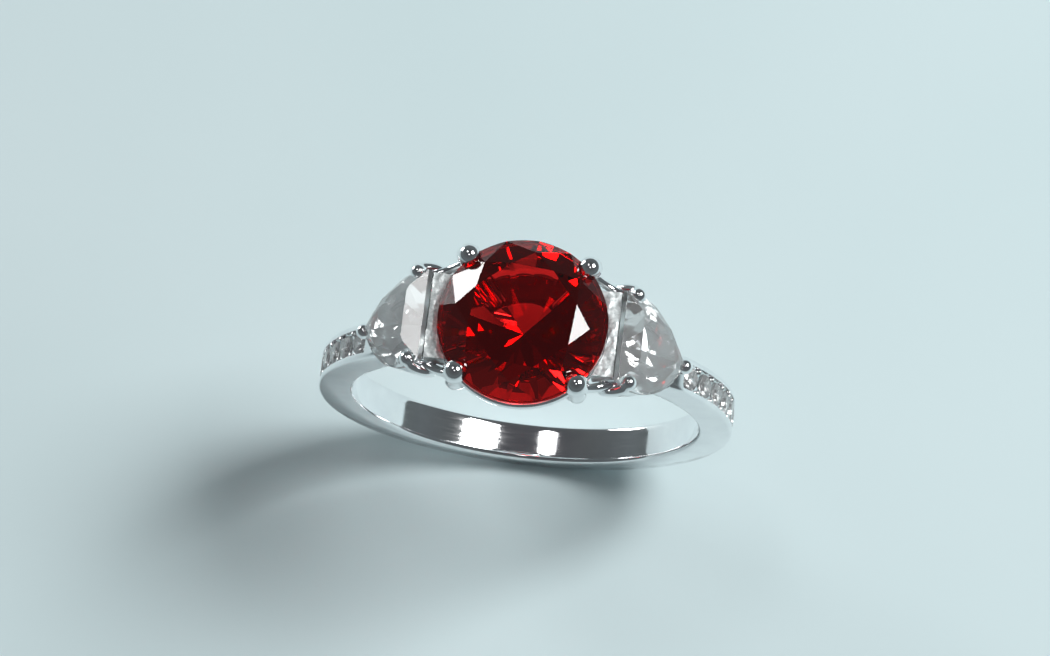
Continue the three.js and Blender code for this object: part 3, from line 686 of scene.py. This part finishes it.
def build_shank():
    bm = bmesh.new()
    profile = shank_profile()
    rings = []
    for angle in shank_angles():
        signed = angle if angle <= math.pi else angle - 2 * math.pi
        ring = []
        for y, inset, face in profile:
            if face == "inner":
                radius = FINGER_RADIUS + inset
            else:
                radius = shank_outer(signed, y) - inset
            ring.append(Vector((radius * math.sin(signed), y, radius * math.cos(signed))))
        rings.append(ring)
    skin(bm, rings)
    for side in (1, -1):
        for gap in range(PAVE_COUNT + 1):
            angle = side * (PAVE_START_ANGLE + (gap - 0.5) * PAVE_STEP)
            for y in (-1, 1):
                centre = Vector(
                    (
                        CHANNEL_RADIUS * math.sin(angle),
                        y * (CHANNEL_HALF_WIDTH - BEAD_RADIUS * 0.75),
                        CHANNEL_RADIUS * math.cos(angle),
                    )
                )
                out = Vector((math.sin(angle), 0, math.cos(angle)))
                turn = out.to_track_quat("Z", "Y").to_matrix().to_4x4()
                bmesh.ops.create_uvsphere(
                    bm,
                    u_segments=16,
                    v_segments=10,
                    radius=BEAD_RADIUS,
                    matrix=Matrix.Translation(centre + out * BEAD_LIFT) @ turn,
                )
    add_piece("polished_shank", bm, [silver], "shank", 35 * DEGREE)


# ---- Centre head -------------------------------------------------------------------------------


def build_base_ring():
    bm = bmesh.new()
    edge = BASE_RING_EDGE
    sides = 96
    rings = []
    for k in range(sides):
        azimuth = 2 * math.pi * k / sides
        ring = []

        def foot(radius, lift):
            x = radius * math.cos(azimuth)
            return polar(radius, azimuth, math.sqrt(FINGER_RADIUS**2 - x * x) + lift)

        for step in range(5):
            a = math.pi / 2 * step / 4
            ring.append(
                polar(
                    BASE_RING_OUTER - edge + edge * math.cos(a),
                    azimuth,
                    BASE_RING_TOP - edge + edge * math.sin(a),
                )
            )
        for step in range(5):
            a = math.pi / 2 * (1 - step / 4)
            ring.append(
                polar(
                    BASE_RING_INNER + edge - edge * math.cos(a),
                    azimuth,
                    BASE_RING_TOP - edge + edge * math.sin(a),
                )
            )
        ring.append(foot(BASE_RING_INNER, edge))
        ring.append(foot(BASE_RING_INNER + edge, 0))
        ring.append(foot(BASE_RING_OUTER - edge, 0))
        ring.append(foot(BASE_RING_OUTER, edge))
        rings.append(ring)
    skin(bm, rings, closed=True)
    add_piece("head_base_ring_turned", bm, [silver], "head_base_ring", 35 * DEGREE)


def build_rail():
    bm = bmesh.new()
    rings = []
    sides = 144
    wire_sides = 20
    for k in range(sides):
        azimuth = 2 * math.pi * k / sides
        ring = []
        for step in range(wire_sides):
            a = 2 * math.pi * step / wire_sides
            ring.append(
                polar(
                    RAIL_RADIUS + RAIL_WIRE_RADIUS * math.cos(a),
                    azimuth,
                    RAIL_Z + RAIL_WIRE_RADIUS * math.sin(a),
                )
            )
        rings.append(ring)
    skin(bm, rings, closed=True)
    add_piece("gallery_rail_wire", bm, [silver], "head_gallery_rail", 60 * DEGREE)


def build_centre_prongs():
    stand = CENTRE_RADIUS + PRONG_STANDOFF
    foot = (BASE_RING_INNER + BASE_RING_OUTER) / 2
    straight = CENTRE_GIRDLE_Z - PRONG_STRAIGHT
    shares = [
        (1, CENTRE_GIRDLE_Z + CENTRE_BALL_LIFT),
        (1, (CENTRE_GIRDLE_Z + straight) / 2),
        (1, straight),
        (PRONG_KNEE, (straight + BASE_RING_TOP) / 2),
        (0, BASE_RING_TOP - PRONG_SINK),
    ]
    path = Path([Vector((foot + share * (stand - foot), 0, z)) for share, z in shares])
    stations = ball_ended(
        path.length, CENTRE_BALL_RADIUS, CENTRE_PRONG_RADIUS, CENTRE_PRONG_FOOT_RADIUS
    )
    for quarter, corner in enumerate(("back_right", "back_left", "front_left", "front_right")):
        bm = bmesh.new()
        swept(bm, path, stations, 32)
        azimuth = PRONG_AZIMUTH + quarter * math.pi / 2
        bmesh.ops.transform(bm, matrix=Matrix.Rotation(azimuth, 4, "Z"), verts=bm.verts)
        name = f"centre_prong_{corner}"
        add_piece(f"{name}_polished", bm, [silver], name, 60 * DEGREE)


def build_centre_stone():
    bm = round_stone(CENTRE_RADIUS, 128)
    place = Matrix.Translation((0, 0, CENTRE_GIRDLE_Z)) @ Matrix.Rotation(CENTRE_TURN, 4, "Z")
    bmesh.ops.transform(bm, matrix=place, verts=bm.verts)
    add_piece("centre_stone_cut", bm, [ruby, ruby_girdle], "centre_stone")


# ---- Side settings -----------------------------------------------------------------------------


def end_on_left(name):
    """The left side is the right one turned half round, so front and back change places."""
    if "front" in name:
        return name.replace("front", "back")
    return name.replace("back", "front")


def add_on_both_sides(make, name, suffix, materials, smooth_angle=None):
    for side in ("right", "left"):
        bm = make()
        if side == "left":
            bmesh.ops.transform(bm, matrix=HALF_TURN, verts=bm.verts)
        node = f"{side}_{name if side == 'right' else end_on_left(name)}"
        add_piece(f"{node}_{suffix}", bm, materials, node, smooth_angle)


def side_point(u, v, w):
    return SIDE_FRAME @ Vector((u, v, w))


def make_seat():
    bm = bmesh.new()
    corners, azimuths = moon_outline(64)
    slope = math.tan(MOON_PAVILION_SLOPE)
    top = -SEAT_LEDGE
    bottom = -SEAT_LEDGE - SEAT_HEIGHT
    section = [
        (0.0, bottom + SEAT_EDGE),
        (0.0, top - SEAT_EDGE),
        (-0.025, top - 0.02),
        (-SEAT_RIM, top),
        (-SEAT_RIM - SEAT_LIP, top - SEAT_LIP),
        (-SEAT_WALL, top - SEAT_LIP - (SEAT_WALL - SEAT_RIM - SEAT_LIP) * slope),
        (-SEAT_WALL, bottom + SEAT_EDGE),
        (-SEAT_WALL + SEAT_EDGE, bottom),
        (-SEAT_EDGE, bottom),
    ]
    rings = []
    for corner, azimuth in zip(corners, azimuths):
        ring = []
        for outward, w in section:
            u = corner.x + outward * math.cos(azimuth)
            v = corner.y + outward * math.sin(azimuth)
            ring.append(side_point(u, v, w))
        rings.append(ring)
    skin(bm, rings)
    return bm


def make_web():
    bm = bmesh.new()
    flat = SIDE_CHORD_X - WEB_GROOVE
    half = side_half_width(SIDE_CHORD_U) - WEB_INSET
    top = CENTRE_GIRDLE_Z - WEB_DROP
    inner = HEAD_OUTER_RADIUS - WEB_OVERLAP
    columns = 64
    across = 10
    down = 7
    rings = []
    for k in range(columns + 1):
        y = -half + 2 * half * k / columns
        start = math.sqrt(inner**2 - y * y)
        ring = []
        for i in range(across + 1):
            x = start + (flat - start) * i / across
            ring.append(Vector((x, y, top)))
        for i in range(1, down):
            ring.append(Vector((flat, y, top - WEB_HEIGHT * i / down)))
        for i in range(across + 1):
            x = flat + (start - flat) * i / across
            ring.append(Vector((x, y, top - WEB_HEIGHT)))
        for i in range(1, down):
            ring.append(Vector((start, y, top - WEB_HEIGHT + WEB_HEIGHT * i / down)))
        for point in ring:
            rough = noise.noise_vector(point * 3.1) + 0.5 * noise.noise_vector(point * 8.3)
            point += rough * WEB_ROUGHNESS
        rings.append(ring)
    skin(bm, rings)
    return bm


def inner_prong_path(side):
    stand = side_half_width(0) + SIDE_PRONG_STANDOFF
    foot = SHANK_WIDTH / 2 - SIDE_PRONG_RADIUS
    below = side_point(0, 0, -SEAT_LEDGE - SEAT_HEIGHT)
    foot_x = below.x * SIDE_PRONG_SPREAD
    return Path(
        [
            side_point(0, side * (stand - SIDE_BALL_INSET), SIDE_BALL_LIFT),
            side_point(0, side * stand, 0),
            side_point(0, side * stand, -SEAT_HEIGHT * 0.8),
            Vector(
                (
                    (below.x + foot_x) / 2,
                    side * (stand + foot) / 2,
                    (below.z + BRIDGE_RADIUS) / 2,
                )
            ),
            Vector((foot_x, side * foot, math.sqrt(BRIDGE_RADIUS**2 - foot_x**2) - SIDE_PRONG_SINK)),
        ]
    )


def tip_prong_path():
    stand = SIDE_TIP_U + SIDE_PRONG_STANDOFF
    return Path(
        [
            side_point(stand - SIDE_BALL_INSET, 0, SIDE_BALL_LIFT),
            side_point(stand, 0, 0),
            side_point(stand, 0, -SIDE_TIP_LIFT * 2),
        ]
    )


def make_side_prong(path, across):
    bm = bmesh.new()
    stations = ball_ended(path.length, SIDE_BALL_RADIUS, SIDE_PRONG_RADIUS, SIDE_PRONG_RADIUS)
    swept(bm, path, stations, 24, across=across)
    return bm


def make_arm(side):
    start = polar(CENTRE_RADIUS + PRONG_STANDOFF, PRONG_AZIMUTH, CENTRE_GIRDLE_Z - ARM_DROP)
    end = side_point(0, side_half_width(0) - SEAT_WALL / 2, -SEAT_LEDGE - ARM_RADIUS)
    middle = start.lerp(end, 0.5) - Vector((0, 0, ARM_SAG))
    path = Path([Vector((p.x, side * p.y, p.z)) for p in (start, middle, end)])
    count = 30
    stations = []
    for k in range(count + 1):
        share = k / count
        waist = 1 - ARM_WAIST * math.sin(math.pi * share)
        stations.append((path.length * share, ARM_RADIUS * waist))
    bm = bmesh.new()
    swept(bm, path, stations, 24, across=Vector((0, 0, 1)))
    return bm


def make_moon():
    bm = moon_stone()
    bmesh.ops.transform(bm, matrix=SIDE_FRAME, verts=bm.verts)
    return bm


def build_side_settings():
    wide = 60 * DEGREE
    add_on_both_sides(make_seat, "seat", "wall", [silver], 40 * DEGREE)
    # The webs get the cast silver with painted shade in its pits.
    add_on_both_sides(make_web, "web", "cast_with_painted_shade", [cast_silver], wide)
    for end, side in (("back", 1), ("front", -1)):
        path = inner_prong_path(side)
        add_on_both_sides(
            lambda path=path: make_side_prong(path, Vector((1, 0, 0))),
            f"prong_{end}",
            "polished",
            [silver],
            wide,
        )
        add_on_both_sides(
            lambda side=side: make_arm(side), f"arm_{end}", "polished", [silver], wide
        )
    add_on_both_sides(
        lambda: make_side_prong(tip_prong_path(), Vector((0, 1, 0))),
        "prong_tip",
        "polished",
        [silver],
        wide,
    )
    add_on_both_sides(make_moon, "half_moon_stone", "cut", [clear, clear_girdle])


def build_shoulder_stones():
    for name, sign in (("right", 1), ("left", -1)):
        for index in range(PAVE_COUNT):
            angle = sign * (PAVE_START_ANGLE + index * PAVE_STEP)
            bm = round_stone(PAVE_DIAMETER / 2, 48)
            place = Matrix.Rotation(angle, 4, "Y") @ Matrix.Translation((0, 0, PAVE_GIRDLE_RADIUS))
            bmesh.ops.transform(bm, matrix=place, verts=bm.verts)
            node = f"{name}_shoulder_stone_{index + 1}"
            add_piece(f"{node}_cut", bm, [clear, clear_girdle], node)


# ---- Floor, lights and camera ------------------------------------------------------------------


def build_floor():
    bm = bmesh.new()
    bmesh.ops.create_grid(bm, x_segments=4, y_segments=4, size=600)
    bmesh.ops.translate(bm, vec=(0, 0, -BASE_RADIUS), verts=bm.verts)
    bmesh.ops.scale(bm, vec=(MM, MM, MM), verts=bm.verts)
    mesh = bpy.data.meshes.new("floor")
    bm.to_mesh(mesh)
    bm.free()
    floor = bpy.data.objects.new("floor", mesh)
    bpy.context.scene.collection.objects.link(floor)
    material, nodes, links, shader = new_material("floor")
    place = millimetres(nodes, links)
    cloudy = noise_node(nodes, links, place, 0.02, 3.0)
    links.new(
        ramp_node(nodes, links, cloudy, [(0.3, (0.6, 0.74, 0.76)), (0.7, (0.66, 0.79, 0.81))]),
        shader.inputs["Base Color"],
    )
    shader.inputs["Roughness"].default_value = 0.7
    mesh.materials.append(material)


def add_soft_box(name, azimuth, elevation, width, height, radiance):
    """A soft box seen from the ring at an azimuth and elevation. Its sides are in degrees."""
    away = 300.0
    data = bpy.data.lights.new(name, "AREA")
    data.shape = "RECTANGLE"
    data.size = 2 * away * math.tan(width / 2 * DEGREE) * MM
    data.size_y = 2 * away * math.tan(height / 2 * DEGREE) * MM
    data.energy = radiance * math.pi * data.size * data.size_y
    light = bpy.data.objects.new(name, data)
    direction = Vector(
        (
            math.cos(elevation * DEGREE) * math.cos(azimuth * DEGREE),
            math.cos(elevation * DEGREE) * math.sin(azimuth * DEGREE),
            math.sin(elevation * DEGREE),
        )
    )
    light.location = (direction * away + Vector((0, 0, CENTRE_GIRDLE_Z))) * MM
    light.rotation_euler = direction.to_track_quat("Z", "Y").to_euler()
    bpy.context.scene.collection.objects.link(light)


def build_world():
    world = bpy.data.worlds.new("studio")
    world.use_nodes = True
    nodes = world.node_tree.nodes
    links = world.node_tree.links
    coordinates = nodes.new("ShaderNodeTexCoord")
    separate = nodes.new("ShaderNodeSeparateXYZ")
    links.new(coordinates.outputs["Generated"], separate.inputs["Vector"])
    height = nodes.new("ShaderNodeMapRange")
    height.inputs["From Min"].default_value = -1
    links.new(separate.outputs["Z"], height.inputs["Value"])
    colour = ramp_node(
        nodes,
        links,
        height.outputs["Result"],
        [
            (0.0, (0.5, 0.6, 0.62)),
            (0.5, (0.12, 0.14, 0.145)),
            (0.62, (0.13, 0.15, 0.16)),
            (0.85, (0.1, 0.11, 0.115)),
            (1.0, (0.08, 0.08, 0.09)),
        ],
    )
    links.new(colour, nodes["Background"].inputs["Color"])
    nodes["Background"].inputs["Strength"].default_value = 0.9
    bpy.context.scene.world = world


def build_camera():
    tilt = 16.5 * DEGREE
    sideways = 2.9 * DEGREE
    roll = 7.05 * DEGREE
    back = Vector(
        (
            math.sin(sideways) * math.cos(tilt),
            -math.sin(tilt),
            math.cos(sideways) * math.cos(tilt),
        )
    ).normalized()
    right = Vector((0, 1, 0)).cross(back).normalized()
    up = back.cross(right)
    across = math.cos(roll) * right + math.sin(roll) * up
    above = math.cos(roll) * up - math.sin(roll) * right
    target = Vector((0, 0, CENTRE_GIRDLE_Z)) + 0.108 * across - 0.278 * above
    data = bpy.data.cameras.new("camera")
    data.lens = 146.5
    data.sensor_width = 36
    data.clip_start = 0.005
    data.clip_end = 10
    camera = bpy.data.objects.new("camera", data)
    turn = Matrix((across, above, back)).transposed()
    camera.matrix_world = Matrix.Translation((target + 200 * back) * MM) @ turn.to_4x4()
    bpy.context.scene.collection.objects.link(camera)
    bpy.context.scene.camera = camera


build_shank()
build_base_ring()
build_rail()
build_centre_prongs()
build_centre_stone()
build_side_settings()
build_shoulder_stones()
build_floor()
build_world()
add_soft_box("key", 23.5, 54, 22, 22, 20)
add_soft_box("window", 144, 4, 22, 16, 16)
add_soft_box("overhead", 280, 80, 7, 7, 6)
add_soft_box("side_stone", 132, 67, 9, 9, 6)
build_camera()
bpy.context.scene.view_settings.view_transform = "Standard"
